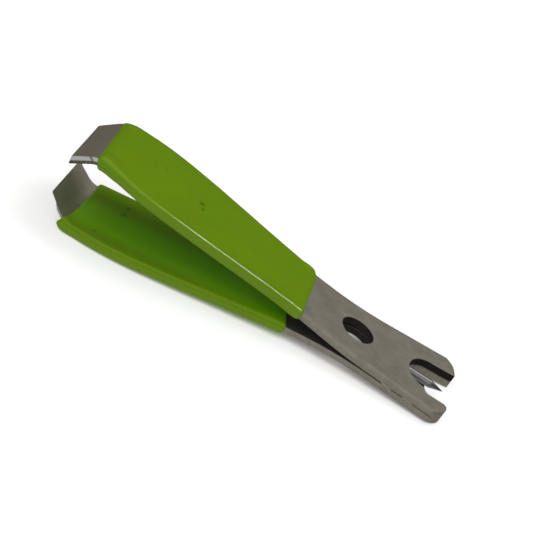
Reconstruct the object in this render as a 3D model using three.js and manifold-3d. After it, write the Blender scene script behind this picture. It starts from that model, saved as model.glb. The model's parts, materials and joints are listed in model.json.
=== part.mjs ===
// Spring-leaf line nipper: two bent steel leaves welded at the tail, a needle between them
// and a dipped plastic sleeve on each arm.
//
// Everything is drawn in the tool's own frame, in millimetres: x runs from the jaw tips (0)
// to the tail end, y across the tool, z up from the plane where the two tails meet.  The
// finished tool is then tilted so that it rests on its lower sleeve and its tail.

import * as THREE from "three";
import { mergeVertices } from "three/addons/utils/BufferGeometryUtils.js";
import Module from "manifold-3d";

const wasm = await Module();
wasm.setup();

const DEGREE = Math.PI / 180;

// ---- driving dimensions ----------------------------------------------------------------

const toolLength = 60;
const sheet = 1.05;
const partingGap = 0.1;

// Where a leaf leaves the parting plane, and how long its gentle bend is.
const bendStart = 48.7;
const bendLength = 9.0;

// The two arms were bent by hand, so they differ a little.
// Jaw angles and heights are of the inner faces; the lower jaw's outside is ground to a blade.
const upperArm = {
  side: 1, armAngle: 7.0, jawAngle: 36.8, jawRadius: 3.3, tipHeight: 2.2, tipThickness: sheet,
};
const lowerArm = {
  side: -1, armAngle: 7.25, jawAngle: 37.8, jawRadius: 3.4, tipHeight: 2.6, tipThickness: 0.3,
};

// The line across each leaf where the arm turns on the tail, and the clearance left there.
const flexLine = 40.0;
const flexGap = 0.12;

// Half the width of the leaf along its length: wide jaws, a waist, a wide tail.
const widthStations = [
  [-1, 5.6],
  [9, 7.45],
  [17, 7.4],
  [28, 6.35],
  [36, 5.8],
  [46, 6.45],
  [61, 7.85],
];

// Tail end: each outer corner is rounded off from this distance to a point on the end face,
// round a control point given by its distance and its inset from the widest part.
const tailCornerStart = 58.2;
const nearCorner = { endHalf: 5.4, controlX: 59.7, controlInset: 0.5 };
const farCorner = { endHalf: 4.2, controlX: 59.65, controlInset: 1.0 };

// Lanyard hole.
const holeCentre = 44.75;
const holeRadius = 2.48;

// Fork notch: an oval root, a straight far side and a stepped near side.
const notchCentre = 56.2;
const notchRootLength = 2.95;
const notchRootHalf = 3.4;
const notchFarHalf = 3.8;
const notchNose = { x: 56.1, y: -2.85 };
const notchNearHalf = 4.4;
const notchFillet = 1.0;
const notchFilletControl = 0.2;
const nearTineRound = 0.7;

// Needle.
const needleRadius = 0.58;
const needleTip = 59.1;
const needleConeStart = 57.2;
const needleButt = 48.8;
const needleTipRadius = 0.06;
const needleHeight = 0.12;
const grooveClearance = 0.03;

// Dipped sleeves: each open at both ends, with the front edge a little out of square.
const coat = 0.3;
const coatClearance = 0.03;
const upperSleeve = { arm: upperArm, frontNear: 3.4, frontFar: 3.0, rear: 36.4 };
const lowerSleeve = { arm: lowerArm, frontNear: 2.9, frontFar: 4.1, rear: 36.2 };

// Tack welds along both edges of the tail.
const weldPlaces = [
  { name: "front", x: 51.3, length: 2.0 },
  { name: "rear", x: 54.65, length: 1.9 },
];
const weldReach = 1.3;
const weldThickness = 0.06;
const weldCorner = 0.4;

// Larger than the tool in every direction, for cutting.
const beyond = 40;
const tailOverrun = 1;
const tipOverrun = 0.5;

// How finely curves are divided, and how near two points are to be the same one.
const bendSteps = 8;
const edgeSteps = 60;
const roundSegments = 24;
const sameness = 1e-4;

// ---- solids ----------------------------------------------------------------------------

function toSolid(geometry) {
  const bare = geometry.clone();
  bare.deleteAttribute("normal");
  bare.deleteAttribute("uv");
  const welded = mergeVertices(bare, sameness);
  const mesh = new wasm.Mesh({
    numProp: 3,
    vertProperties: Float32Array.from(welded.attributes.position.array),
    triVerts: Uint32Array.from(welded.index.array),
  });
  mesh.merge();
  return new wasm.Manifold(mesh);
}

function toGeometry(solid) {
  const mesh = solid.getMesh();
  const geometry = new THREE.BufferGeometry();
  geometry.setAttribute("position", new THREE.BufferAttribute(mesh.vertProperties, 3));
  geometry.setIndex(new THREE.BufferAttribute(mesh.triVerts, 1));
  return geometry;
}

// Side-view outline (x, z) carried right across the tool.
function acrossTool(outline) {
  const geometry = new THREE.ExtrudeGeometry(new THREE.Shape(outline), {
    depth: 2 * beyond,
    bevelEnabled: false,
  });
  geometry.rotateX(Math.PI / 2);
  geometry.translate(0, beyond, 0);
  return toSolid(geometry);
}

// Plan-view shape (x, y) carried from one height to another.
function upright(shape, low, high) {
  const geometry = new THREE.ExtrudeGeometry(shape, {
    depth: high - low,
    bevelEnabled: false,
    curveSegments: roundSegments,
  });
  geometry.translate(0, 0, low);
  return toSolid(geometry);
}

// ---- the leaf, side view ---------------------------------------------------------------

// Walks the inner face of a leaf from beyond the tail end to beyond the jaw tip.  Each
// station keeps its place, its heading (0 along the tail, positive away from the partner)
// and whether the jaw is ground there.  The straight lengths of the arm and the jaw follow
// from the tool's length and the height of the jaw tip.
function leafStations(arm) {
  const armHeading = arm.armAngle * DEGREE;
  const jawHeading = arm.jawAngle * DEGREE;
  const stations = [];
  const at = { x: toolLength + tailOverrun, z: partingGap / 2, heading: 0 };
  const mark = (ground = 0) => stations.push({ ...at, ground });
  const go = (distance) => {
    at.x -= distance * Math.cos(at.heading);
    at.z += distance * Math.sin(at.heading);
  };
  const turn = (length, heading) => {
    const change = (heading - at.heading) / bendSteps;
    for (let step = 0; step < bendSteps; step += 1) {
      at.heading += change / 2;
      go(length / bendSteps);
      at.heading += change / 2;
      mark();
    }
  };
  mark();
  go(at.x - bendStart);
  mark();
  turn(bendLength, armHeading);
  const turned = armHeading + jawHeading;
  const jawRun = arm.jawRadius * (Math.sin(jawHeading) + Math.sin(armHeading));
  const jawRise = arm.jawRadius * (Math.cos(jawHeading) - Math.cos(armHeading));
  const run = at.x - jawRun;
  const rise = arm.tipHeight - at.z - jawRise;
  const armStraight = (run * Math.sin(jawHeading) + rise * Math.cos(jawHeading)) / Math.sin(turned);
  const jawStraight = (run * Math.sin(armHeading) - rise * Math.cos(armHeading)) / Math.sin(turned);
  go(armStraight);
  mark();
  turn(arm.jawRadius * turned, -jawHeading);
  go(jawStraight);
  mark(1);
  go(tipOverrun);
  mark(1);
  return stations;
}

// The band between two distances from a leaf's inner face, as a closed side outline.
function band(arm, inner, outer) {
  const stations = leafStations(arm);
  const place = (station, distance) => new THREE.Vector2(
    station.x + distance * Math.sin(station.heading),
    arm.side * (station.z + distance * Math.cos(station.heading)),
  );
  const innerLine = stations.map((station) => place(station, inner));
  const grind = sheet - arm.tipThickness;
  const outerLine = stations.map((station) => place(station, outer - grind * station.ground));
  return [...innerLine, ...outerLine.reverse()];
}

// ---- the leaf, plan view ---------------------------------------------------------------

const widthCurve = new THREE.SplineCurve(widthStations.map(([x, half]) => new THREE.Vector2(x, half)));
const widthSamples = widthCurve.getPoints(edgeSteps);

// The points of one long edge of the leaf between two distances, moved outwards by a margin.
function edgeLine(from, to, margin) {
  return widthSamples
    .filter((point) => point.x > from && point.x < to)
    .map((point) => new THREE.Vector2(point.x, point.y + margin));
}

// Half the leaf's width at a distance from the jaw tips.
function halfWidth(x) {
  const next = widthSamples.findIndex((point) => point.x >= x);
  const a = widthSamples[next - 1];
  const b = widthSamples[next];
  return THREE.MathUtils.mapLinear(x, a.x, b.x, a.y, b.y);
}

function leafPlan() {
  const shape = new THREE.Shape();
  const jawHalf = halfWidth(0);
  const cornerHalf = halfWidth(tailCornerStart);
  const edge = edgeLine(0, tailCornerStart, 0);
  shape.moveTo(0, -jawHalf);
  edge.forEach((point) => shape.lineTo(point.x, -point.y));
  shape.lineTo(tailCornerStart, -cornerHalf);
  shape.quadraticCurveTo(
    nearCorner.controlX, nearCorner.controlInset - cornerHalf, toolLength, -nearCorner.endHalf,
  );
  shape.quadraticCurveTo(
    toolLength, -notchNearHalf, toolLength - nearTineRound, -notchNearHalf,
  );
  shape.lineTo(notchNose.x + notchFillet, -notchNearHalf);
  shape.quadraticCurveTo(
    notchNose.x + notchFilletControl, -notchNearHalf, notchNose.x, notchNose.y,
  );
  const rootFrom = Math.PI + Math.asin(-notchNose.y / notchRootHalf);
  shape.absellipse(
    notchCentre, 0, notchRootLength, notchRootHalf, rootFrom, Math.PI / 2, true, 0,
  );
  shape.lineTo(toolLength, notchFarHalf);
  shape.lineTo(toolLength, farCorner.endHalf);
  shape.quadraticCurveTo(
    farCorner.controlX, cornerHalf - farCorner.controlInset, tailCornerStart, cornerHalf,
  );
  edge.reverse().forEach((point) => shape.lineTo(point.x, point.y));
  shape.lineTo(0, jawHalf);
  shape.closePath();
  const hole = new THREE.Path();
  hole.absarc(holeCentre, 0, holeRadius, 0, 2 * Math.PI, false);
  shape.holes.push(hole);
  return shape;
}

// ---- pieces ----------------------------------------------------------------------------

// The needle lies along the tool between the leaves; a margin makes the groove it lies in.
function needleSolid(margin) {
  const profile = [
    new THREE.Vector2(0, needleButt - margin),
    new THREE.Vector2(needleRadius + margin, needleButt - margin),
    new THREE.Vector2(needleRadius + margin, needleConeStart),
    new THREE.Vector2(needleTipRadius + margin, needleTip),
    new THREE.Vector2(0, needleTip + margin),
  ];
  const geometry = new THREE.LatheGeometry(profile, roundSegments);
  geometry.rotateZ(-Math.PI / 2);
  geometry.translate(0, 0, needleHeight);
  return toSolid(geometry);
}

// Everything between two distances along the tool.
function slab(from, to) {
  const geometry = new THREE.BoxGeometry(to - from, 2 * beyond, 2 * beyond);
  geometry.translate((from + to) / 2, 0, 0);
  return toSolid(geometry);
}

// A leaf from jaw to tail, before it is parted at the flex line.
function wholeLeaf(arm) {
  const side = acrossTool(band(arm, 0, sheet));
  const plan = upright(leafPlan(), -beyond, beyond);
  return side.intersect(plan).subtract(needleSolid(grooveClearance));
}

const cuttingAhead = slab(-beyond, flexLine - flexGap / 2);
const cuttingBehind = slab(flexLine + flexGap / 2, toolLength + beyond);

// A sleeve's plan outline: its long edges follow the leaf, its front edge may be askew.
function sleevePlan(sleeve, margin) {
  const shape = new THREE.Shape();
  const front = Math.max(sleeve.frontNear, sleeve.frontFar);
  const edge = edgeLine(front, sleeve.rear, margin);
  shape.moveTo(sleeve.frontNear, -halfWidth(sleeve.frontNear) - margin);
  edge.forEach((point) => shape.lineTo(point.x, -point.y));
  shape.lineTo(sleeve.rear, -halfWidth(sleeve.rear) - margin);
  shape.lineTo(sleeve.rear, halfWidth(sleeve.rear) + margin);
  edge.reverse().forEach((point) => shape.lineTo(point.x, point.y));
  shape.lineTo(sleeve.frontFar, halfWidth(sleeve.frontFar) + margin);
  shape.closePath();
  return shape;
}

// A coat of even thickness over the arm, hollow where the leaf runs through it.
function sleeveSolid(sleeve) {
  const outside = acrossTool(band(sleeve.arm, -coat, sheet + coat));
  const inside = acrossTool(band(sleeve.arm, -coatClearance, sheet + coatClearance));
  const outline = upright(sleevePlan(sleeve, coat), -beyond, beyond);
  const cavityPlan = new THREE.Shape();
  const reach = edgeLine(0, toolLength, coatClearance);
  cavityPlan.moveTo(reach[0].x, -reach[0].y);
  reach.forEach((point) => cavityPlan.lineTo(point.x, -point.y));
  reach.reverse().forEach((point) => cavityPlan.lineTo(point.x, point.y));
  cavityPlan.closePath();
  const cavity = inside.intersect(upright(cavityPlan, -beyond, beyond));
  return outside.intersect(outline).subtract(cavity);
}

// A thin plate in the gap between the tails, flush with the tool's edge, with its inner
// corners rounded.  Side is -1 on the near edge of the tool and 1 on the far edge.
function weldSolid(place, side) {
  const shape = new THREE.Shape();
  const from = place.x - place.length / 2;
  const to = place.x + place.length / 2;
  const edgeFrom = side * halfWidth(from);
  const edgeTo = side * halfWidth(to);
  const innerFrom = edgeFrom - side * weldReach;
  const innerTo = edgeTo - side * weldReach;
  shape.moveTo(from, edgeFrom);
  shape.lineTo(to, edgeTo);
  shape.quadraticCurveTo(to, innerTo, to - weldCorner, innerTo);
  shape.lineTo(from + weldCorner, innerFrom);
  shape.quadraticCurveTo(from, innerFrom, from, edgeFrom);
  return upright(shape, -weldThickness / 2, weldThickness / 2);
}

// ---- materials -------------------------------------------------------------------------

function steelMaterial(colour, roughness) {
  return new THREE.MeshStandardMaterial({ color: colour, metalness: 0.9, roughness });
}

function vinylMaterial(colour) {
  return new THREE.MeshStandardMaterial({ color: colour, metalness: 0, roughness: 0.22 });
}

// ---- assembly --------------------------------------------------------------------------

const tool = new THREE.Group();

function add(name, solid, material) {
  const mesh = new THREE.Mesh(toGeometry(solid), material);
  mesh.name = name;
  tool.add(mesh);
  return mesh;
}

const upperLeaf = wholeLeaf(upperArm);
const lowerLeaf = wholeLeaf(lowerArm);
add("upper_leaf_tail", upperLeaf.intersect(cuttingBehind), steelMaterial(0x77736f, 0.42));
add("lower_leaf_tail", lowerLeaf.intersect(cuttingBehind), steelMaterial(0x6f6b67, 0.45));
add("upper_leaf_arm", upperLeaf.intersect(cuttingAhead), steelMaterial(0x77736f, 0.42));
add("lower_leaf_arm", lowerLeaf.intersect(cuttingAhead), steelMaterial(0x6f6b67, 0.45));
add("upper_sleeve", sleeveSolid(upperSleeve), vinylMaterial(0x84c41c));
const lowerSleeveMesh = add("lower_sleeve", sleeveSolid(lowerSleeve), vinylMaterial(0x7fc01a));
add("needle", needleSolid(0), steelMaterial(0x9a9894, 0.25));
weldPlaces.forEach((place) => {
  add(`weld_${place.name}_near`, weldSolid(place, -1), steelMaterial(0x5d5955, 0.6));
  add(`weld_${place.name}_far`, weldSolid(place, 1), steelMaterial(0x5d5955, 0.6));
});

// ---- how the tool rests ----------------------------------------------------------------

// The line under the tool from the tail's lower edge to the lowest point of the sleeve.
function restAngle() {
  const tailLow = -partingGap / 2 - sheet;
  const places = lowerSleeveMesh.geometry.attributes.position;
  let steepest = 0;
  for (let i = 0; i < places.count; i += 1) {
    const slope = Math.atan2(tailLow - places.getZ(i), toolLength - places.getX(i));
    steepest = Math.max(steepest, slope);
  }
  return steepest;
}

const standing = new THREE.Group();
standing.add(tool);
tool.rotation.y = restAngle();
standing.updateMatrixWorld(true);
const box = new THREE.Box3().setFromObject(standing, true);
const middle = box.getCenter(new THREE.Vector3());
standing.position.set(-middle.x, -middle.y, -box.min.z);

export default standing;
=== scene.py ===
"""Looks of the line nipper: two bent steel leaves, dipped sleeves, a needle and tack welds.

Shapes are worked out in the tool's own frame, in millimetres: x from the jaw tips (0) to the
tail end, y across the tool, z up from the plane where the tails meet.  to_row() turns them
into the row frame, in metres, by way of the flat face that the record names on the tail.
"""
import json
import math

import bpy
import numpy as np
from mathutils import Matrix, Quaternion, Vector, geometry, noise


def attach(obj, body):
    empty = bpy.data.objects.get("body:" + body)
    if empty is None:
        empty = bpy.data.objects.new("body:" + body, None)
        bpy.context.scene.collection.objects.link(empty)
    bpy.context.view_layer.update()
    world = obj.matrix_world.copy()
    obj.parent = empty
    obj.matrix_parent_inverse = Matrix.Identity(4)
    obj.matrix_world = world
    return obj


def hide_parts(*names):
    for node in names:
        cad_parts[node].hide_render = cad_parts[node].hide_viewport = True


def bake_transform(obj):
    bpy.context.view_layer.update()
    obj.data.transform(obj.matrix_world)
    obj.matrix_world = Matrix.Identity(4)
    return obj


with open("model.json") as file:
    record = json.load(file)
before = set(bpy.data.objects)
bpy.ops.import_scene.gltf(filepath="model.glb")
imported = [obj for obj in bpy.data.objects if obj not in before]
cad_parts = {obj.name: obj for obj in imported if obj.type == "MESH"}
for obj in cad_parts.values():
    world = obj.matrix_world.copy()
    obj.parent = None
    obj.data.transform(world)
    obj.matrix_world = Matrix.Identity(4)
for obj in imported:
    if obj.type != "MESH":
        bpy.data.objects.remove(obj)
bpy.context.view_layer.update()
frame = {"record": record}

MM = 0.001
DEGREE = math.pi / 180

# ---- the tool's dimensions, in millimetres ------------------------------------------------

TOOL_LENGTH = 60.0
SHEET = 1.05
PARTING_GAP = 0.1
BEND_START = 48.7
BEND_LENGTH = 9.0

UPPER = {"side": 1, "arm": 7.0, "jaw": 36.8, "radius": 3.3, "tip": 2.2, "tip_sheet": SHEET}
LOWER = {"side": -1, "arm": 7.25, "jaw": 37.8, "radius": 3.4, "tip": 2.6, "tip_sheet": 0.3}

# Half the width of a leaf at stations along it.
WIDTH_STATIONS = [(-1, 5.6), (9, 7.45), (17, 7.4), (28, 6.35), (36, 5.8), (46, 6.45), (61, 7.85)]

HOLE_CENTRE = 44.75
HOLE_RADIUS = 2.48
TAIL_CORNER = 58.2
TAIL_EDGE_HALF = 4.2
NOTCH_CENTRE = 56.2
NOTCH_LENGTH = 2.95
NOTCH_HALF = 3.4
NOTCH_FAR_HALF = 3.8
NOTCH_NEAR_HALF = 4.4
NOSE = (56.1, -2.85)
NOSE_FILLET = 1.0

# Radii along a leaf's cut edges: at the outer face, at its hole and notch, on the jaw, at the
# inner face and at the cutting edge.
OUTER_EDGE = 0.42
PUNCHED_EDGE = 0.13
JAW_EDGE = 0.06
PARTING_EDGE = 0.07
CUTTING_EDGE = 0.035

# Where those radii change along the leaf, and over what length.
CUTTING_EDGE_FADE = 0.8
JAW_EDGE_TO = 3.0
JAW_EDGE_FADE = 1.5
PUNCHED_FROM = 40.0
PUNCHED_DEPTH = 1.5

BLADE_BEVEL = 1.5
BLADE_BEVEL_FROM = 2.6
BLADE_BEVEL_TO = 4.4

COAT = 0.3
SKIN_CLEARANCE = 0.004
SNUG_CORNER = 0.12
LIP_LENGTH = 0.55
SOFTENED_LENGTH = 7.0
DIP_WAVE = 0.035
SLEEVE_REAR_HALF = 5.9

# Points around a sleeve's section: on each corner, and steps along the faces and the sides.
CORNER_POINTS = 9
FACE_STEPS = 26
SIDE_STEPS = 4
SECTION_POINTS = 4 * CORNER_POINTS + 2 * (FACE_STEPS - 1) + 2 * (SIDE_STEPS - 1)

NEEDLE_RADIUS = 0.58
NEEDLE_TIP = 59.1
NEEDLE_CONE = 57.2
NEEDLE_BUTT = 48.8
NEEDLE_HEIGHT = 0.12

# Fused stretches: the middle and the length of each pair, and where the one on the tine starts.
WELDS = {"front": (51.3, 2.0), "rear": (54.65, 1.9)}
TINE_FUSED_FROM = 58.5

# ---- from the tool's frame to the row's ---------------------------------------------------

tail_face = next(m for m in frame["record"]["mounts"] if m["name"] == "tail_top")
TILT = math.atan2(tail_face["axis"][0], tail_face["axis"][2])
FACE_POINT = (50.2, 0.0, PARTING_GAP / 2 + SHEET)


def turned(points):
    """Points of the tool's frame, turned to the row's attitude but not yet placed."""
    p = np.asarray(points, float).reshape(-1, 3)
    x = p[:, 0] * math.cos(TILT) + p[:, 2] * math.sin(TILT)
    z = -p[:, 0] * math.sin(TILT) + p[:, 2] * math.cos(TILT)
    return np.stack([x, p[:, 1], z], 1) * MM


ROW_SHIFT = np.array(tail_face["pos_m"]) - turned([FACE_POINT])[0]


def to_row(points):
    """Points of the tool's frame, in the row frame and in metres."""
    return turned(points) + ROW_SHIFT


# ---- the leaf's side view -----------------------------------------------------------------

def leaf_path(arm, bend_steps=30):
    """Stations along a leaf's inner face: distance from the tail end, x, z and heading.

    The path runs on a little past the tail end and past the jaw tip. It is returned with the
    distances at which the straight jaw starts and ends.
    """
    past_tail, past_tip = 2.0, 1.0
    arm_heading = arm["arm"] * DEGREE
    jaw_heading = arm["jaw"] * DEGREE
    radius = arm["radius"]
    rows = []
    x, z, heading, travelled = TOOL_LENGTH + past_tail, PARTING_GAP / 2, 0.0, -past_tail

    def go(length, target, steps):
        nonlocal x, z, heading, travelled
        change = (target - heading) / steps
        for _ in range(steps):
            middle = heading + change / 2
            x -= length / steps * math.cos(middle)
            z += length / steps * math.sin(middle)
            travelled += length / steps
            heading += change
            rows.append((travelled, x, z, heading))

    rows.append((travelled, x, z, heading))
    go(x - BEND_START, 0.0, 1)
    go(BEND_LENGTH, arm_heading, bend_steps)
    turn = arm_heading + jaw_heading
    run = x - radius * (math.sin(jaw_heading) + math.sin(arm_heading))
    rise = arm["tip"] - z - radius * (math.cos(jaw_heading) - math.cos(arm_heading))
    arm_length = (run * math.sin(jaw_heading) + rise * math.cos(jaw_heading)) / math.sin(turn)
    jaw_length = (run * math.sin(arm_heading) - rise * math.cos(arm_heading)) / math.sin(turn)
    go(arm_length, arm_heading, 1)
    go(radius * turn, -jaw_heading, bend_steps)
    go(jaw_length, -jaw_heading, 1)
    tip = travelled
    go(past_tip, -jaw_heading, 1)
    return np.array(rows), tip - jaw_length, tip


class Leaf:
    """Places a point of the flat sheet (x in plan, y, height n over the inner face) in space."""

    def __init__(self, arm):
        self.arm = arm
        self.rows, self.jaw_from, self.tip = leaf_path(arm)
        middle = self.rows[:, 1] + SHEET / 2 * np.sin(self.rows[:, 3])
        self.plan_x = middle[::-1]
        self.plan_s = self.rows[::-1, 0]

    def along(self, x):
        """Distance from the tail end, along the inner face, of a place in plan."""
        return np.interp(x, self.plan_x, self.plan_s)

    def place(self, x, y, n):
        """The bent place of a point of the sheet; the jaw is thinned as its arm says, its end cut upright."""
        x, y, n = (np.asarray(v, float) for v in (x, y, n))
        s = self.along(x)
        jaw = np.clip((s - self.jaw_from) / (self.tip - self.jaw_from), 0, 1)
        ground = 1 - jaw * (1 - self.arm["tip_sheet"] / SHEET)
        n = np.where(n > 0, n * ground, n)
        squared = (n - SHEET / 2) * math.tan(self.arm["jaw"] * DEGREE) * jaw
        s = s - squared
        heading = np.interp(s, self.rows[:, 0], self.rows[:, 3])
        px = np.interp(s, self.rows[:, 0], self.rows[:, 1]) + n * np.sin(heading)
        pz = np.interp(s, self.rows[:, 0], self.rows[:, 2]) + n * np.cos(heading)
        return np.stack([px, y * np.ones_like(px), self.arm["side"] * pz], -1)


# ---- the leaf's plan view -----------------------------------------------------------------

def spline(stations, count=400):
    """Uniform Catmull-Rom curve through the stations."""
    p = np.array(stations, float)
    p = np.vstack([p[0], p, p[-1]])
    out = []
    for t in np.linspace(0, len(stations) - 1 - 1e-9, count):
        i, f = int(t), t - int(t)
        a, b, c, d = p[i:i + 4]
        out.append(0.5 * (2 * b + (c - a) * f + (2 * a - 5 * b + 4 * c - d) * f ** 2
                          + (3 * b - a - 3 * c + d) * f ** 3))
    return np.array(out)


WIDTH_LINE = spline(WIDTH_STATIONS)


def half_width(x):
    """Half the width of a leaf at x."""
    return np.interp(x, WIDTH_LINE[:, 0], WIDTH_LINE[:, 1])


class Pen:
    """Draws an outline as points about a fixed distance apart."""

    def __init__(self, start, step):
        self.points = [np.array(start, float)]
        self.step = step

    def curve(self, at, length):
        count = max(2, int(math.ceil(length / self.step)))
        for i in range(1, count + 1):
            self.points.append(np.array(at(i / count), float))

    def line(self, *end):
        a, b = self.points[-1], np.array(end, float)
        self.curve(lambda t: a + (b - a) * t, np.linalg.norm(b - a))

    def bend(self, control, end):
        a, c, b = self.points[-1], np.array(control, float), np.array(end, float)
        length = np.linalg.norm(c - a) + np.linalg.norm(b - c)
        self.curve(lambda t: a * (1 - t) ** 2 + c * 2 * t * (1 - t) + b * t ** 2, length)

    def oval(self, centre, radii, start, end):
        c = np.array(centre, float)
        length = abs(end - start) * max(radii)

        def at(t):
            angle = start + (end - start) * t
            return c + (radii[0] * math.cos(angle), radii[1] * math.sin(angle))

        self.curve(at, length)


def leaf_outline(step=0.22, tip_corner=0.35):
    """The leaf's plan outline, anticlockwise, starting at the near corner of the jaw tip."""
    jaw_half = half_width(0)
    corner_half = half_width(TAIL_CORNER)
    pen = Pen((0, -jaw_half + tip_corner), step)
    pen.bend((0, -jaw_half), (tip_corner, -half_width(tip_corner)))
    reach = TAIL_CORNER - tip_corner
    pen.curve(lambda t: (tip_corner + reach * t, -half_width(tip_corner + reach * t)), reach)
    pen.bend((TOOL_LENGTH - 0.3, -corner_half + 0.5), (TOOL_LENGTH, -TAIL_EDGE_HALF - 1.2))
    pen.bend((TOOL_LENGTH, -NOTCH_NEAR_HALF), (TOOL_LENGTH - 0.7, -NOTCH_NEAR_HALF))
    pen.line(NOSE[0] + NOSE_FILLET, -NOTCH_NEAR_HALF)
    pen.bend((NOSE[0] + 0.2, -NOTCH_NEAR_HALF), NOSE)
    root_from = math.pi + math.asin(-NOSE[1] / NOTCH_HALF)
    root_x = NOTCH_CENTRE + NOTCH_LENGTH * math.cos(root_from)
    pen.line(root_x, NOSE[1])
    pen.oval((NOTCH_CENTRE, 0), (NOTCH_LENGTH, NOTCH_HALF), root_from, math.pi / 2)
    pen.line(TOOL_LENGTH - 0.1, NOTCH_FAR_HALF - 0.02)
    pen.bend((TOOL_LENGTH, NOTCH_FAR_HALF), (TOOL_LENGTH, NOTCH_FAR_HALF + 0.1))
    pen.line(TOOL_LENGTH, TAIL_EDGE_HALF)
    pen.bend((TOOL_LENGTH - 0.35, corner_half - 1.0), (TAIL_CORNER, corner_half))
    pen.curve(lambda t: (TAIL_CORNER - reach * t, half_width(TAIL_CORNER - reach * t)), reach)
    pen.bend((0, jaw_half), (0, jaw_half - tip_corner))
    pen.line(0, -jaw_half + tip_corner)
    return np.array(pen.points[:-1])


def hole_outline(step=0.22):
    """The lanyard hole's outline, clockwise."""
    count = int(2 * math.pi * HOLE_RADIUS / step)
    angle = -np.linspace(0, 2 * math.pi, count, endpoint=False)
    return np.stack([HOLE_CENTRE + HOLE_RADIUS * np.cos(angle), HOLE_RADIUS * np.sin(angle)], 1)


def outward(loop):
    """Unit normals of a closed loop, to the right of its direction of travel."""
    along = np.roll(loop, -1, 0) - np.roll(loop, 1, 0)
    along /= np.linalg.norm(along, axis=1)[:, None]
    return np.stack([along[:, 1], -along[:, 0]], 1)


# ---- mesh helpers -------------------------------------------------------------------------

def make_object(name, points, faces, rest=None):
    """A smooth-shaded mesh piece from points in the tool's frame.

    Its sheet_mm attribute keeps the points of rest, or else the points themselves.
    """
    mesh = bpy.data.meshes.new(name)
    mesh.from_pydata(to_row(points).tolist(), [], [list(map(int, f)) for f in faces])
    mesh.validate()
    mesh.polygons.foreach_set("use_smooth", [True] * len(mesh.polygons))
    sheet = np.asarray(points if rest is None else rest, float)
    attribute = mesh.attributes.new("sheet_mm", "FLOAT_VECTOR", "POINT")
    attribute.data.foreach_set("vector", sheet.astype(np.float32).ravel())
    obj = bpy.data.objects.new(name, mesh)
    bpy.context.collection.objects.link(obj)
    return obj


def ring_faces(a, b, flip=False):
    """Quads between two closed rings of the same count."""
    count = len(a)
    quads = [(a[i], a[(i + 1) % count], b[(i + 1) % count], b[i]) for i in range(count)]
    return [q[::-1] for q in quads] if flip else quads


def edge_profile(parting_steps=3, outer_steps=5):
    """Rows up the cut edge, from the inner face to the outer face.

    Each is the edge it belongs to, and its inset and its distance from that edge's face, both
    as shares of the edge's radius.
    """
    rows = []
    for i in range(parting_steps + 1):
        angle = math.pi / 2 * i / parting_steps
        rows.append(("parting", 1 - math.sin(angle), 1 - math.cos(angle)))
    for i in range(outer_steps + 1):
        angle = math.pi / 2 * i / outer_steps
        rows.append(("outer", 1 - math.cos(angle), 1 - math.sin(angle)))
    return rows


def blade_undercut(arm, x):
    """How far the lower jaw's long edges are ground back at its outer face."""
    if arm is UPPER:
        return np.zeros_like(x)
    share = np.clip((BLADE_BEVEL_TO - x) / (BLADE_BEVEL_TO - BLADE_BEVEL_FROM), 0, 1)
    return BLADE_BEVEL * share * share * (3 - 2 * share)


def edge_radii(loop):
    """Radii of a leaf's cut edge at the outer face and at the inner face, around a loop."""
    x = loop[:, 0]
    tip = np.clip(x / CUTTING_EDGE_FADE, 0, 1)
    body = np.clip((x - JAW_EDGE_TO) / JAW_EDGE_FADE, 0, 1)
    outer = CUTTING_EDGE + (JAW_EDGE - CUTTING_EDGE) * tip + (OUTER_EDGE - JAW_EDGE) * body
    within = (half_width(x) - np.abs(loop[:, 1])) * np.clip(x - PUNCHED_FROM, 0, 1)
    outer -= (OUTER_EDGE - PUNCHED_EDGE) * np.clip(within / PUNCHED_DEPTH, 0, 1)
    parting = CUTTING_EDGE + (PARTING_EDGE - CUTTING_EDGE) * tip
    return outer, parting


def build_leaf(name, arm):
    """A whole leaf: flat faces, rounded cut edges, hole and notch, bent to the arm's shape."""
    leaf = Leaf(arm)
    loops = [leaf_outline(), hole_outline()]
    normals = [outward(loop) for loop in loops]
    flat, faces, rings = [], [], []
    for loop, normal in zip(loops, normals):
        outer, parting = edge_radii(loop)
        own = []
        for which, inset, height in edge_profile():
            radius = outer if which == "outer" else parting
            n = radius * height if which == "parting" else SHEET - radius * height
            xy = loop - normal * (radius * inset)[:, None]
            xy[:, 1] *= 1 - blade_undercut(arm, loop[:, 0]) * n / SHEET / half_width(loop[:, 0])
            own.append(list(range(len(flat), len(flat) + len(loop))))
            flat.extend(np.column_stack([xy, n * np.ones(len(loop))]).tolist())
        for a, b in zip(own[:-1], own[1:]):
            faces += ring_faces(a, b)
        rings.append(own)
    faces += cap_faces(flat, [own[-1] for own in rings], SHEET, up=True)
    faces += cap_faces(flat, [own[0] for own in rings], 0.0, up=False)
    flat = np.array(flat)
    points = leaf.place(flat[:, 0], flat[:, 1], flat[:, 2])
    if arm["side"] < 0:
        faces = [f[::-1] for f in faces]
    return make_object(name, points, faces, rest=flat)


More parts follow.
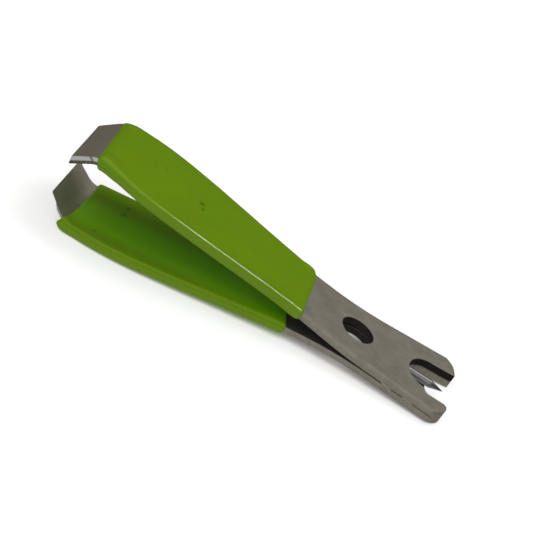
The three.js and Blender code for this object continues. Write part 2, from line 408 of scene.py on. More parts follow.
def cap_faces(flat, rings, height, up, spacing=0.62):
    """Triangulates a flat face between its outline and its hole, with points all over it.

    flat gains the new points; the faces are returned.
    """
    border = [Vector(flat[i][:2]) for ring in rings for i in ring]
    index = [i for ring in rings for i in ring]
    edges, start = [], 0
    for ring in rings:
        count = len(ring)
        edges += [(start + i, start + (i + 1) % count) for i in range(count)]
        start += count
    outline = np.array([flat[i][:2] for i in rings[0]])
    hole_rim = np.array([flat[i][:2] for i in rings[1]])
    hole_keep = HOLE_RADIUS + spacing * 0.8
    span = 9.0
    inner = []
    for row, x in enumerate(np.arange(spacing, TOOL_LENGTH, spacing)):
        for y in np.arange(-span + spacing / 2 * (row % 2), span, spacing):
            far_from_hole = math.hypot(x - HOLE_CENTRE, y) > hole_keep
            if far_from_hole and inside(outline, x, y, spacing * 0.5):
                inner.append(Vector((x, y)))
    result = geometry.delaunay_2d_cdt(border + inner, edges, [], 0, 1e-6)
    verts, tris, origins = result[0], result[2], result[3]
    new_index = []
    for vertex, origin in zip(verts, origins):
        known = [o for o in origin if o < len(border)]
        if known:
            new_index.append(index[known[0]])
        else:
            new_index.append(len(flat))
            flat.append([vertex.x, vertex.y, height])
    out = []
    for tri in tris:
        centre = sum((verts[i] for i in tri), Vector((0, 0))) / 3
        in_hole = inside(hole_rim, centre.x, centre.y, 0)
        if in_hole or not inside(outline, centre.x, centre.y, 0):
            continue
        face = [new_index[i] for i in tri]
        out.append(face if up else face[::-1])
    return out


def inside(outline, x, y, clearance):
    """Whether a point lies inside a closed outline and at least a clearance away from it."""
    a, b = outline, np.roll(outline, -1, 0)
    crosses = (a[:, 1] > y) != (b[:, 1] > y)
    rise = np.where(b[:, 1] == a[:, 1], 1e-12, b[:, 1] - a[:, 1])
    at = a[:, 0] + (y - a[:, 1]) / rise * (b[:, 0] - a[:, 0])
    is_in = np.count_nonzero(crosses & (x < at)) % 2 == 1
    if not is_in or clearance == 0:
        return is_in
    return np.min(np.hypot(a[:, 0] - x, a[:, 1] - y)) > clearance


# ---- dipped sleeves -----------------------------------------------------------------------

def sleeve_section(half, thick, inner_corner, outer_corner):
    """Rounded oblong (y, n) centred on the sheet, from the near inner corner round to itself.

    The inner face (negative n) and the outer face can have different corner radii.
    """
    inner_corner = min(inner_corner, thick * 0.98)
    outer_corner = min(outer_corner, thick * 0.98)
    corners = [(1, -1, inner_corner, -math.pi / 2), (1, 1, outer_corner, 0.0),
               (-1, 1, outer_corner, math.pi / 2), (-1, -1, inner_corner, math.pi)]
    points = []
    for k, (sy, sn, radius, start) in enumerate(corners):
        cy, cn = sy * (half - radius), sn * (thick - radius)
        for i in range(CORNER_POINTS):
            angle = start + math.pi / 2 * i / (CORNER_POINTS - 1)
            points.append((cy + radius * math.cos(angle), cn + radius * math.sin(angle)))
        ny, nn, nradius, nstart = corners[(k + 1) % 4]
        following = (ny * (half - nradius) + nradius * math.cos(nstart),
                     nn * (thick - nradius) + nradius * math.sin(nstart))
        last = points[-1]
        steps = SIDE_STEPS if k % 2 == 0 else FACE_STEPS
        for i in range(1, steps):
            t = i / steps
            points.append((last[0] + (following[0] - last[0]) * t,
                           last[1] + (following[1] - last[1]) * t))
    return np.array(points)


def lip(distance):
    """How much of the full coat there is at a distance from the sleeve's end."""
    t = np.clip(distance / LIP_LENGTH, 0, 1)
    return np.sqrt(np.maximum(1 - (1 - t) ** 2, 0))


def dip_wave(x, y, n, seed):
    """Slow unevenness of a dipped coat, at places around one ring."""
    places = [Vector((px * 0.22, py * 0.25, seed + pn)) for px, py, pn in zip(x, y, n)]
    return np.array([noise.noise(place) for place in places]) * DIP_WAVE


def build_sleeve(name, arm, front, rear, bead, corners, front_softening, seed):
    """A dipped sleeve: a skin over the leaf with rolled lips, closed by an inner skin.

    front(y, n) and rear(y, n) give where the dip lines lie, and bead(x, y, n) adds to the coat.
    corners are the section's radii at its inner and outer face; front_softening adds to the
    outer one towards the front.
    """
    leaf = Leaf(arm)
    end_steps = np.array([0, 0.02, 0.06, 0.12, 0.2, 0.3, 0.42, 0.6, 0.85, 1.2, 1.7, 2.4])
    body_steps = np.arange(3.2, 27.5, 0.55)
    inner_steps = np.linspace(1.0, 29.0, 30)
    flat, rings = [], []

    def snug_section(half):
        return sleeve_section(half, SHEET / 2, SNUG_CORNER, SNUG_CORNER)

    def ring(distance, from_front, coated):
        """Adds one ring at a distance from a dip line, on the coat or on the inner skin."""
        x = np.full(SECTION_POINTS, 20.0)
        for _ in range(3):
            half = half_width(x)
            section = snug_section(half[0])
            y = section[:, 0] * half / half[0]
            n = section[:, 1] + SHEET / 2
            x = front(y, n) + distance if from_front else rear(y, n) - distance
        half = half_width(x)
        softened = front_softening * math.exp(-(distance / SOFTENED_LENGTH) ** 2) if from_front else 0.0
        grown = sleeve_section(half[0] + COAT, SHEET / 2 + COAT, corners[0], corners[1] + softened)
        snug = snug_section(half[0])
        y_out = grown[:, 0] + (half - half[0]) * grown[:, 0] / (half[0] + COAT)
        y_in = snug[:, 0] * (half / half[0])
        share = lip(distance) if coated else 0.0
        extra = share * (dip_wave(x, y_in, snug[:, 1], seed) + bead(x, y_in, snug[:, 1] + SHEET / 2))
        direction = np.stack([y_out - y_in, grown[:, 1] - snug[:, 1]], 1)
        direction /= np.linalg.norm(direction, axis=1)[:, None]
        y = y_in + (y_out - y_in) * share + direction[:, 0] * (extra + SKIN_CLEARANCE)
        n = snug[:, 1] + (grown[:, 1] - snug[:, 1]) * share + direction[:, 1] * (extra + SKIN_CLEARANCE)
        rings.append(list(range(len(flat), len(flat) + len(x))))
        flat.extend(np.column_stack([x, y, n + SHEET / 2]).tolist())

    for distance in end_steps:
        ring(distance, from_front=True, coated=True)
    for distance in body_steps:
        ring(distance, from_front=True, coated=True)
    for distance in end_steps[::-1]:
        ring(distance, from_front=False, coated=True)
    for distance in inner_steps:
        ring(distance, from_front=False, coated=False)
    faces = []
    for a, b in zip(rings, rings[1:] + rings[:1]):
        faces += ring_faces(a, b)
    flat = np.array(flat)
    points = leaf.place(flat[:, 0], flat[:, 1], flat[:, 2])
    if arm["side"] < 0:
        faces = [f[::-1] for f in faces]
    return make_object(name, points, faces, rest=flat)


def upper_front(y, n):
    """A straight line across the jaw, slightly aslant."""
    return 3.2 - 0.03 * y


def upper_rear(y, n):
    """Cut back at the far corner, drawn out a little at the near one."""
    far_corner = (np.maximum(y, 0) / SLEEVE_REAR_HALF) ** 6
    near_corner = (np.maximum(-y, 0) / SLEEVE_REAR_HALF) ** 2
    return 36.55 - 0.75 * far_corner + 0.2 * near_corner


def lower_front(y, n):
    """Bowed back on the inner face, drawn forward at the near corner."""
    near = np.clip((-y - 3.0) / 4.0, 0, 1) ** 2
    inner_face = np.clip(1 - n / SHEET, 0, 1)
    return 3.45 + 0.06 * y + 0.3 * inner_face * (1 - (y / 7) ** 2) - 0.4 * near


def lower_rear(y, n):
    """Slanted on the inner face, with a rounded heel at the near bottom corner."""
    slant = np.clip((y + 6.0) / 5.0, 0, 1) * np.clip(1 - n / SHEET, 0, 1)
    heel = np.clip((-y - 5.0) / 0.8, 0, 1) * np.clip(n / SHEET, 0, 1) ** 3
    far_corner = (np.maximum(y, 0) / SLEEVE_REAR_HALF) ** 5
    return 36.0 - 0.9 * slant - 0.3 * far_corner - 0.3 * heel


def swell(value, middle, width):
    """1 at the middle, falling smoothly to nothing a couple of widths away."""
    return np.exp(-((value - middle) / width) ** 2)


def upper_bead(x, y, n):
    """A thick front corner, a drip on the near side and a swelling at the far rear corner."""
    near = np.clip((-y - 4.8) / 0.9, 0, 1)
    low = np.clip(1 - n / SHEET, 0, 1)
    front = 0.22 * swell(x, 4.0, 1.8)
    drip = 0.12 * low * swell(x, 6.2, 0.4)
    rear = 0.12 * low * swell(x, 35.4, 1.2)
    far = np.clip((y - 4.8) / 0.9, 0, 1)
    return near * (front + drip + rear) + 0.14 * far * swell(x, 34.7, 0.9)


def lower_bead(x, y, n):
    """A thick near front corner, and vinyl pooled in the hollow of the lower sleeve's bend."""
    near = swell(y, -6.6, 0.9)
    hollow = np.clip(1 - 2 * n / SHEET, 0, 1) * np.clip((y + 4.0) / 9.0, 0, 1)
    return 0.14 * near * swell(x, 3.6, 0.8) + 0.42 * hollow * swell(x, 3.2, 4.2)


# ---- needle and welds ---------------------------------------------------------------------

def build_needle(name, sides=48):
    """A round wire, flat at its butt and ground to a point, closed by one point at each end."""
    profile = [(NEEDLE_BUTT, NEEDLE_RADIUS - 0.1), (NEEDLE_BUTT + 0.1, NEEDLE_RADIUS)]
    profile += [(x, NEEDLE_RADIUS) for x in np.arange(NEEDLE_BUTT + 0.8, NEEDLE_CONE - 0.3, 0.8)]
    for i in range(9):
        t = i / 8
        profile.append((NEEDLE_CONE - 0.25 + 0.5 * t, NEEDLE_RADIUS - 0.12 * t ** 2))
    profile += [(NEEDLE_TIP - 0.05, 0.06)]
    points, faces = [], []
    for x, r in profile:
        for k in range(sides):
            angle = 2 * math.pi * k / sides
            points.append((x, r * math.cos(angle), NEEDLE_HEIGHT + r * math.sin(angle)))
    for i in range(len(profile) - 1):
        a = [i * sides + k for k in range(sides)]
        b = [(i + 1) * sides + k for k in range(sides)]
        faces += ring_faces(a, b)
    butt, tip = len(points), len(points) + 1
    points += [(NEEDLE_BUTT, 0.0, NEEDLE_HEIGHT), (NEEDLE_TIP, 0.0, NEEDLE_HEIGHT)]
    last = (len(profile) - 1) * sides
    faces += [(butt, (k + 1) % sides, k) for k in range(sides)]
    faces += [(tip, last + k, last + (k + 1) % sides) for k in range(sides)]
    return make_object(name, points, faces)


def fused_stretch(name, wanted, seed):
    """Steel run into the parting line along the part of the outline where wanted(x, y) holds.

    Its section is a flat-fronted bead that stands just proud of the leaves' cut edges.
    """
    sunk, reach, half_height = 0.17, 0.185, 0.21
    outline = leaf_outline(step=0.12)
    normals = outward(outline)
    kept = [i for i, (x, y) in enumerate(outline) if wanted(x, y)]
    points, faces = [], []
    around = 20
    for order, i in enumerate(kept):
        t = -1 + 2 * order / (len(kept) - 1)
        size = math.sqrt(max(1 - t ** 6, 0.002))
        for k in range(around):
            angle = 2 * math.pi * k / around
            c, d = math.cos(angle), math.sin(angle)
            wobble = noise.noise(Vector((outline[i][0] * 1.7, angle * 0.8, seed)))
            out = -sunk + size * (reach + 0.02 * wobble) * math.copysign(abs(c) ** 0.45, c)
            z = half_height * size * (1 + 0.15 * wobble) * math.copysign(abs(d) ** 0.8, d)
            x, y = outline[i] + normals[i] * out
            points.append((x, y, z))
    for r in range(len(kept) - 1):
        a = [r * around + k for k in range(around)]
        b = [(r + 1) * around + k for k in range(around)]
        faces += ring_faces(a, b, flip=True)
    faces.append(list(range(around)))
    faces.append([(len(kept) - 1) * around + k for k in range(around)][::-1])
    return make_object(name, points, faces)


# ---- materials ----------------------------------------------------------------------------

def new_material(name):
    """A material with its node tree and its shader."""
    material = bpy.data.materials.new(name)
    material.use_nodes = True
    tree = material.node_tree
    return material, tree, tree.nodes["Principled BSDF"]


def node(tree, kind, **values):
    """A new node with its inputs or its settings set by name."""
    made = tree.nodes.new(kind)
    for key, value in values.items():
        if key in made.inputs:
            made.inputs[key].default_value = value
        else:
            setattr(made, key, value)
    return made


def sheet_coordinates(tree, scale):
    """The piece's own sheet coordinates in millimetres, stretched by scale along each axis."""
    source = node(tree, "ShaderNodeAttribute", attribute_name="sheet_mm")
    stretch = node(tree, "ShaderNodeMapping")
    stretch.inputs["Scale"].default_value = scale
    tree.links.new(source.outputs["Vector"], stretch.inputs["Vector"])
    return stretch.outputs["Vector"]


def noise_value(tree, scale, detail, roughness):
    """Noise over the sheet, with its features 1 mm across divided by scale along each axis."""
    made = node(tree, "ShaderNodeTexNoise", Scale=1.0, Detail=detail, Roughness=roughness)
    tree.links.new(sheet_coordinates(tree, scale), made.inputs["Vector"])
    return made.outputs["Fac"]


def ramp(tree, value, stops):
    """A colour ramp through (position, colour) stops."""
    made = node(tree, "ShaderNodeValToRGB")
    elements = made.color_ramp.elements
    elements[0].position, elements[0].color = stops[0][0], (*stops[0][1], 1)
    elements[1].position, elements[1].color = stops[-1][0], (*stops[-1][1], 1)
    for position, colour in stops[1:-1]:
        elements.new(position).color = (*colour, 1)
    tree.links.new(value, made.inputs["Fac"])
    return made.outputs["Color"]


def greys(stops):
    """Ramp stops of plain greys, from (position, level) pairs."""
    return [(position, (level,) * 3) for position, level in stops]


def remap(tree, value, low, high, from_low=0.3, from_high=0.7):
    """A value carried from one range to another and held at the ends."""
    made = node(tree, "ShaderNodeMapRange")
    made.inputs["From Min"].default_value = from_low
    made.inputs["From Max"].default_value = from_high
    made.inputs["To Min"].default_value = low
    made.inputs["To Max"].default_value = high
    tree.links.new(value, made.inputs["Value"])
    return made.outputs["Result"]


def bump(tree, value, strength, distance, below=None):
    """A normal bumped by a value, on top of another bump if one is given."""
    made = node(tree, "ShaderNodeBump", Strength=strength, Distance=distance)
    tree.links.new(value, made.inputs["Height"])
    if below is not None:
        tree.links.new(below, made.inputs["Normal"])
    return made.outputs["Normal"]


def calculate(tree, operation, a, b):
    """One sum on two values, each a socket or a number."""
    made = node(tree, "ShaderNodeMath", operation=operation)
    for socket, value in zip(made.inputs, (a, b)):
        if isinstance(value, (int, float)):
            socket.default_value = value
        else:
            tree.links.new(value, socket)
    return made.outputs["Value"]


def window(tree, value, low, high, soft):
    """1 between two values and 0 outside them, with soft edges."""
    up = remap(tree, value, 0.0, 1.0, low - soft, low + soft)
    down = remap(tree, value, 1.0, 0.0, high - soft, high + soft)
    return product(tree, up, down)


def product(tree, *values):
    """All the values multiplied together."""
    out = values[0]
    for value in values[1:]:
        out = calculate(tree, "MULTIPLY", out, value)
    return out


def tint(tree, colour, mask, target):
    """Moves a colour towards a target where the mask is 1."""
    mixed = node(tree, "ShaderNodeMix", data_type="RGBA")
    tree.links.new(mask, mixed.inputs["Factor"])
    tree.links.new(colour, mixed.inputs[6])
    mixed.inputs[7].default_value = (*target, 1)
    return mixed.outputs[2]


def combine(tree, a, b, share):
    """a plus a share of b."""
    made = node(tree, "ShaderNodeMath", operation="MULTIPLY_ADD")
    tree.links.new(b, made.inputs[0])
    made.inputs[1].default_value = share
    tree.links.new(a, made.inputs[2])
    return made.outputs["Value"]


def distance(tree, x, y, centre, scale_x, scale_y, ahead=False):
    """Scaled distance from (centre, 0); ahead=True puts what is nearer the tail end far away."""
    far_away = 1000.0
    along = calculate(tree, "SUBTRACT", x, centre)
    if ahead:
        past = product(tree, calculate(tree, "MAXIMUM", along, 0.0), far_away)
        along = calculate(tree, "SUBTRACT", along, past)
    along = product(tree, along, scale_x)
    across = product(tree, y, scale_y)
    squares = calculate(tree, "ADD", product(tree, along, along), product(tree, across, across))
    return calculate(tree, "SQRT", squares, 0.0)


def sheet_axes(tree):
    """The sheet coordinates x, y and n, in millimetres."""
    split = node(tree, "ShaderNodeSeparateXYZ")
    tree.links.new(sheet_coordinates(tree, (1, 1, 1)), split.inputs["Vector"])
    return split.outputs["X"], split.outputs["Y"], split.outputs["Z"]


# Painted shade for the hole's wall.
HOLE_SHADE = (0.085, 0.07, 0.06)
NOTCH_DARK = (0.05, 0.042, 0.04)
# Painted shade for the leaves' inner faces, where they face each other.
BETWEEN_SHADE = (0.24, 0.225, 0.21)
# Painted highlight and painted shade for the upper jaw's near edge.
EDGE_HIGHLIGHT = (0.97, 0.96, 0.93)
EDGE_SHADE = (0.1, 0.09, 0.075)


def notch_walls(tree, colour, x, y):
    """Darkens the cut walls of the notch: its round root, and the straight wall on the far side."""
    root = distance(tree, x, y, NOTCH_CENTRE, 1 / NOTCH_LENGTH, 1 / NOTCH_HALF, ahead=True)
    wall = remap(tree, root, 1.0, 0.0, 1.01, 1.03)
    spread = (NOTCH_FAR_HALF - NOTCH_HALF) / (TOOL_LENGTH - NOTCH_CENTRE)
    inwards = combine(tree, y, x, -spread)
    limit = NOTCH_HALF - spread * NOTCH_CENTRE
    far_wall = product(tree, window(tree, x, NOTCH_CENTRE, 70.0, 0.02),
                       window(tree, inwards, limit - 3.0, limit + 0.05, 0.03))
    return tint(tree, tint(tree, colour, wall, NOTCH_DARK), far_wall, NOTCH_DARK)


def edge_highlight_and_shade(tree, colour, x, y, n, pits):
    """A painted highlight on the upper half of the jaw's near edge, with one break, over painted shade on its
    lower half.
    """
    widening = half_width(3) / 3 - half_width(0) / 3
    near_edge = -half_width(0)
    near_side = remap(tree, combine(tree, y, x, widening), 1.0, 0.0, near_edge + 0.07, near_edge + 0.13)
    nicked = window(tree, combine(tree, x, n, 0.35), 2.75, 3.05, 0.05)
    # Painted highlight on the upper half of the near edge, with one break.
    edge = product(tree, window(tree, x, -1.0, 3.6, 0.06), near_side, window(tree, n, 0.5, 2.0, 0.07),
                   remap(tree, nicked, 1.0, 0.0, 0.0, 1.0))
    # Painted shade on the lower half of the near edge, mottled by the pits.
    lower_half_shade = product(tree, window(tree, x, -1.0, 3.4, 0.1), near_side, window(tree, n, -1.0, 0.42, 0.06),
                   remap(tree, pits, 0.3, 1.0))
    return tint(tree, tint(tree, colour, edge, EDGE_HIGHLIGHT), lower_half_shade, EDGE_SHADE)


def leaf_steel(name, jaw_brown_and_painted_light, upper):
    """Tumbled stainless sheet: soft mottling, fine lengthwise grain, small pits, and jaws tinted browner; the
    lower jaw's tint is also lighter than the sheet, as painted light.

    The hole's wall and the inner face between the sleeves are darker: painted shade. The upper leaf also has
    dark notch walls, and a painted highlight over painted shade along its jaw's near edge.
    """
    material, tree, shader = new_material(name)
    x, y, n = sheet_axes(tree)
    mottle = noise_value(tree, (0.5, 0.5, 0.5), 5.0, 0.6)
    grain = noise_value(tree, (0.9, 12.0, 3.0), 6.0, 0.65)
    pits = noise_value(tree, (6.0, 6.0, 6.0), 3.0, 0.5)
    colour = ramp(tree, mottle, [(0.28, (0.47, 0.425, 0.355)), (0.5, (0.55, 0.51, 0.43)),
                                 (0.74, (0.62, 0.585, 0.505))])
    # Jaws tinted browner; on the lower leaf the tint is also lighter than the sheet, painted light for light
    # the jaw doesn't get.
    jaw = product(tree, remap(tree, x, 1.0, 0.0, 2.5, 5.5), remap(tree, mottle, 0.55, 1.0))
    colour = tint(tree, colour, jaw, jaw_brown_and_painted_light)
    # Painted shade on the hole's wall.
    from_hole = distance(tree, x, y, HOLE_CENTRE, 1.0, 1.0)
    hole = remap(tree, from_hole, 1.0, 0.0, HOLE_RADIUS + 0.02, HOLE_RADIUS + 0.1)
    colour = tint(tree, colour, hole, HOLE_SHADE)
    # Painted shade on the inner face, where the leaves face each other.
    between = product(tree, window(tree, x, 30.0, 52.0, 0.5), remap(tree, n, 1.0, 0.0, 0.03, 0.07))
    colour = tint(tree, colour, between, BETWEEN_SHADE)
    if upper:
        colour = notch_walls(tree, colour, x, y)
        colour = edge_highlight_and_shade(tree, colour, x, y, n, pits)
    tree.links.new(colour, shader.inputs["Base Color"])
    shader.inputs["Metallic"].default_value = 1.0
    tree.links.new(remap(tree, grain, 0.64, 0.8), shader.inputs["Roughness"])
    coarse = bump(tree, pits, 0.12, 0.00002)
    tree.links.new(bump(tree, grain, 0.1, 0.00001, coarse), shader.inputs["Normal"])
    return material


def sleeve_vinyl(name, bounce_green, marks):
    """Glossy dipped vinyl with faint clouding, a little orange peel, dark specks and marks.

    On its inner face, away from the near edge and short of the far side, the coat is painted a more saturated
    green: painted light, for light bounced between the green sleeves. Each mark is a ragged smudge: its place
    along and across the sleeve, and its size.
    """
    material, tree, shader = new_material(name)
    x, y, n = sheet_axes(tree)
    cloud = noise_value(tree, (0.12, 0.12, 0.12), 3.0, 0.5)
    colour = ramp(tree, cloud, [(0.3, (0.24, 0.46, 0.005)), (0.7, (0.27, 0.49, 0.006))])
    # Painted light: a more saturated green on the inner face, for light bounced between the green sleeves.
    inner = product(tree, remap(tree, n, 1.0, 0.0, -0.28, 0.1), remap(tree, y, 0.0, 1.0, -6.8, -4.2),
                    remap(tree, y, 1.0, 0.0, 0.0, 3.2))
    colour = tint(tree, colour, inner, bounce_green)
    speck = noise_value(tree, (1.6, 1.6, 1.6), 2.0, 0.4)
    speck_mask = ramp(tree, speck, [(0.2, (1, 1, 1)), (0.235, (0, 0, 0))])
    colour = tint(tree, colour, speck_mask, (0.05, 0.09, 0.005))
    ragged = noise_value(tree, (2.2, 2.2, 2.2), 4.0, 0.7)
    for along, across, size in marks:
        away = distance(tree, x, calculate(tree, "SUBTRACT", y, across), along, 1 / size, 1 / size)
        away = combine(tree, away, ragged, 2.4)
        colour = tint(tree, colour, remap(tree, away, 0.6, 0.0, 1.4, 2.3), (0.06, 0.1, 0.006))
    tree.links.new(colour, shader.inputs["Base Color"])
    shader.inputs["Roughness"].default_value = 0.09
    shader.inputs["IOR"].default_value = 1.5
    peel = noise_value(tree, (0.7, 0.7, 0.7), 2.0, 0.5)
    tree.links.new(bump(tree, peel, 0.035, 0.00005), shader.inputs["Normal"])
    return material


def needle_steel():
    """Turned wire: smoother and darker than the sheet, with fine streaks around it."""
    material, tree, shader = new_material("needle_steel")
    turning = noise_value(tree, (9.0, 1.0, 1.0), 4.0, 0.6)
    colour = ramp(tree, turning, [(0.3, (0.3, 0.295, 0.285)), (0.7, (0.42, 0.41, 0.4))])
    tree.links.new(colour, shader.inputs["Base Color"])
    shader.inputs["Metallic"].default_value = 1.0
    tree.links.new(remap(tree, turning, 0.28, 0.38), shader.inputs["Roughness"])
    return material


def weld_steel():
    """Steel that ran and set in small ripples."""
    material, tree, shader = new_material("weld_steel")
    ripple = noise_value(tree, (5.0, 3.0, 3.0), 4.0, 0.6)
    colour = ramp(tree, ripple, [(0.3, (0.46, 0.42, 0.35)), (0.7, (0.6, 0.56, 0.48))])
    tree.links.new(colour, shader.inputs["Base Color"])
    shader.inputs["Metallic"].default_value = 1.0
    tree.links.new(remap(tree, ripple, 0.42, 0.6), shader.inputs["Roughness"])
    tree.links.new(bump(tree, ripple, 0.3, 0.00003), shader.inputs["Normal"])
    return material


# ---- the pieces ---------------------------------------------------------------------------

def dress(obj, material):
    """Gives a piece its material."""
    obj.data.materials.append(material)


UPPER_STEEL = leaf_steel("upper_steel", jaw_brown_and_painted_light=(0.52, 0.47, 0.38), upper=True)
# The lower jaw's tint is lighter than the sheet: painted light.
LOWER_STEEL = leaf_steel("lower_steel", jaw_brown_and_painted_light=(0.76, 0.67, 0.6), upper=False)
# Each sleeve's inner-face green is painted bounce light.
UPPER_VINYL = sleeve_vinyl("upper_vinyl", bounce_green=(0.2, 0.5, 0.005),
                           marks=[(17.7, 0.3, 0.55), (18.2, -0.8, 0.4), (11.0, 2.0, 0.25)])
LOWER_VINYL = sleeve_vinyl("lower_vinyl", bounce_green=(0.3, 0.7, 0.003),
                           marks=[(7.6, -5.5, 0.25), (9.5, 1.9, 0.5), (9.6, 4.0, 0.5)])
NEEDLE = needle_steel()
WELD = weld_steel()

steel_pieces = []
for which, arm, steel in (("upper", UPPER, UPPER_STEEL), ("lower", LOWER, LOWER_STEEL)):
    leaf = build_leaf(f"{which}_leaf", arm)
    dress(leaf, steel)
    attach(leaf, "tail")
    leaf.parent = None  # the blend needs a mesh without a parent
    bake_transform(leaf)
    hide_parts(f"{which}_leaf_tail", f"{which}_leaf_arm")
    steel_pieces.append(leaf)

upper_sleeve = build_sleeve("upper_dip", UPPER, upper_front, upper_rear, upper_bead,
                            corners=(0.6, 0.42), front_softening=0.38, seed=3.0)
lower_sleeve = build_sleeve("lower_dip", LOWER, lower_front, lower_rear, lower_bead,
                            corners=(0.75, 0.5), front_softening=0.0, seed=8.0)
for which, sleeve, vinyl in (("upper", upper_sleeve, UPPER_VINYL), ("lower", lower_sleeve, LOWER_VINYL)):
    dress(sleeve, vinyl)
    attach(sleeve, f"{which}_arm")
    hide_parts(f"{which}_sleeve")

needle = build_needle("needle_ground")
dress(needle, NEEDLE)
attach(needle, "tail")
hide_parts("needle")
steel_pieces.append(needle)

for number, (place_name, (place, length)) in enumerate(WELDS.items()):
    for side_name, side in (("near", -1), ("far", 1)):
        def on_stretch(x, y, side=side, place=place, length=length):
            return abs(x - place) <= length / 2 and y * side > NOTCH_NEAR_HALF + 0.3

        weld = fused_stretch(f"fused_{place_name}_{side_name}", on_stretch, 5.0 * number + side)
        dress(weld, WELD)
        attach(weld, "tail")
        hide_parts(f"weld_{place_name}_{side_name}")
        steel_pieces.append(weld)


def on_tine(x, y):
    """Whether a place of the outline is at the near tine's end."""
    return x > TINE_FUSED_FROM and y < -NOTCH_NEAR_HALF - 0.1


tine_weld = fused_stretch("fused_tine_end", on_tine, 13.0)
dress(tine_weld, WELD)
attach(tine_weld, "tail")
steel_pieces.append(tine_weld)

# ---- floor, light and camera --------------------------------------------------------------

VIEW_AZIMUTH = -0.05
VIEW_ELEVATION = 28.27
VIEW_ROLL = 27.46
VIEW_DISTANCE = 0.2202
AIM = Vector((0.00029, 0.0004, 0.00575))
SENSOR = 36.0
LENS = 109.6143
LENS_SHIFT = (-0.005009, 0.002758)

# How far the sweep lies under the CAD floor, because the lower dip's waves reach just below it.
SWEEP_CLEARANCE = 0.00006


def make_sweep(glow):
    """A white round sweep, floor and wall in one, that glows, its glow darkened close to the object as a
    painted shadow.

    Diffuse, glossy and shadow rays pass it by, so it neither lights the object nor shades it.
    """
    flat, curve, wall_top, sides = 0.8, 0.5, 1.5, 96
    profile = [(0.0, 0.0), (0.3, 0.0), (flat, 0.0)]
    for angle in np.linspace(0.1, math.pi / 2, 12):
        profile.append((flat + curve * math.sin(angle), curve - curve * math.cos(angle)))
    profile.append((flat + curve, wall_top))
    verts, faces = [(0.0, 0.0, 0.0)], []
    for radius, height in profile[1:]:
        for k in range(sides):
            angle = 2 * math.pi * k / sides
            verts.append((radius * math.cos(angle), radius * math.sin(angle), height))
    faces += [(0, 1 + k, 1 + (k + 1) % sides) for k in range(sides)]
    for r in range(len(profile) - 2):
        a = [1 + r * sides + k for k in range(sides)]
        b = [1 + (r + 1) * sides + k for k in range(sides)]
        faces += ring_faces(a, b, flip=True)
    mesh = bpy.data.meshes.new("sweep")
    mesh.from_pydata(verts, [], faces)
    mesh.polygons.foreach_set("use_smooth", [True] * len(mesh.polygons))
    sweep = bpy.data.objects.new("sweep", mesh)
    bpy.context.collection.objects.link(sweep)
    material, tree, shader = new_material("pale_sweep")
    shader.inputs["Base Color"].default_value = (0.8, 0.8, 0.8, 1)
    shader.inputs["Roughness"].default_value = 1.0
    shader.inputs["Specular IOR Level"].default_value = 0.0
    # Painted shadow: ambient occlusion darkens the glow near the object.
    shade = node(tree, "ShaderNodeAmbientOcclusion", Distance=0.02, samples=16)
    openness = greys([(0.0, 0.0), (0.1, 0.1), (0.22, 0.62), (0.38, 0.83), (0.8, 0.86), (1.0, 1.0)])
    lit = ramp(tree, shade.outputs["AO"], openness)
    tree.links.new(lit, shader.inputs["Emission Color"])
    shader.inputs["Emission Strength"].default_value = glow
    sweep.data.materials.append(material)
    sweep.location.z = -SWEEP_CLEARANCE
    sweep.visible_glossy = False
    sweep.visible_diffuse = False
    sweep.visible_shadow = False


def make_world(ground, horizon, zenith):
    """A studio that is dim at the horizon and brighter below it and overhead."""
    world = bpy.data.worlds.new("studio")
    world.use_nodes = True
    tree = world.node_tree
    source = tree.nodes.new("ShaderNodeTexCoord")
    split = tree.nodes.new("ShaderNodeSeparateXYZ")
    tree.links.new(source.outputs["Generated"], split.inputs["Vector"])
    height = remap(tree, split.outputs["Z"], 0.0, 1.0, -1.0, 1.0)
    levels = greys([(0.35, ground), (0.52, horizon), (0.75, horizon), (0.97, zenith)])
    shade = ramp(tree, height, levels)
    tree.links.new(shade, tree.nodes["Background"].inputs["Color"])
    bpy.context.scene.world = world


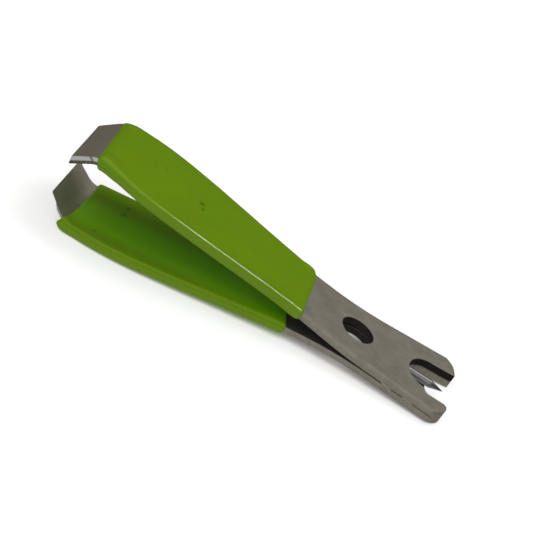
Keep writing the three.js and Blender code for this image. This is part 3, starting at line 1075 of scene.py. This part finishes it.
def make_light(name, place, size, power, kind, receivers=()):
    """A rectangular light, aimed at the origin, that works on diffuse or on glossy reflection.

    It reaches every object, or only the receivers if any are given.
    """
    data = bpy.data.lights.new(name, "AREA")
    data.shape = "RECTANGLE"
    data.size, data.size_y = size
    data.energy = power
    light = bpy.data.objects.new(name, data)
    light.location = place
    light.rotation_euler = (-Vector(place)).to_track_quat("-Z", "Y").to_euler()
    light.visible_diffuse = kind == "diffuse"
    light.visible_glossy = kind == "glossy"
    bpy.context.collection.objects.link(light)
    if receivers:
        light.light_linking.receiver_collection = bpy.data.collections.new(f"lit_by_{name}")
        for obj in receivers:
            light.light_linking.receiver_collection.objects.link(obj)


def make_camera():
    """The camera: seen from the near side and above, rolled, at VIEW_DISTANCE from AIM."""
    azimuth, elevation = VIEW_AZIMUTH * DEGREE, VIEW_ELEVATION * DEGREE
    back = Vector((math.sin(azimuth) * math.cos(elevation), -math.cos(azimuth) * math.cos(elevation),
                   math.sin(elevation)))
    data = bpy.data.cameras.new("camera")
    data.sensor_width = SENSOR
    data.lens = LENS
    data.shift_x, data.shift_y = LENS_SHIFT
    data.clip_start = 0.01
    camera = bpy.data.objects.new("camera", data)
    camera.location = AIM + back * VIEW_DISTANCE
    level = (-back).to_track_quat("-Z", "Y")
    camera.rotation_mode = "QUATERNION"
    camera.rotation_quaternion = level @ Quaternion((0, 0, 1), VIEW_ROLL * DEGREE)
    bpy.context.collection.objects.link(camera)
    bpy.context.scene.camera = camera


make_sweep(glow=0.7)
make_world(ground=0.34, horizon=0.04, zenith=0.45)
make_light("near_softbox", (-0.15, -0.75, 0.65), (1.4, 1.0), 2.3, "diffuse")
make_light("near_fill", (-0.1, -0.9, 0.3), (1.0, 0.3), 0.95, "diffuse")
make_light("overhead_fill", (0.25, 0.16, 0.6), (0.3, 0.3), 0.8, "diffuse")
make_light("steel_softbox", (-0.15, -0.85, 0.35), (1.4, 0.9), 3.0, "glossy", steel_pieces)
make_light("steel_overhead", (0.25, 0.3, 0.6), (0.3, 0.3), 0.52, "glossy", steel_pieces)
make_light("highlight_strip", (0.25, 0.16, 0.6), (0.045, 0.2), 5.8, "glossy", [upper_sleeve])
make_camera()
bpy.context.scene.view_settings.view_transform = "Standard"
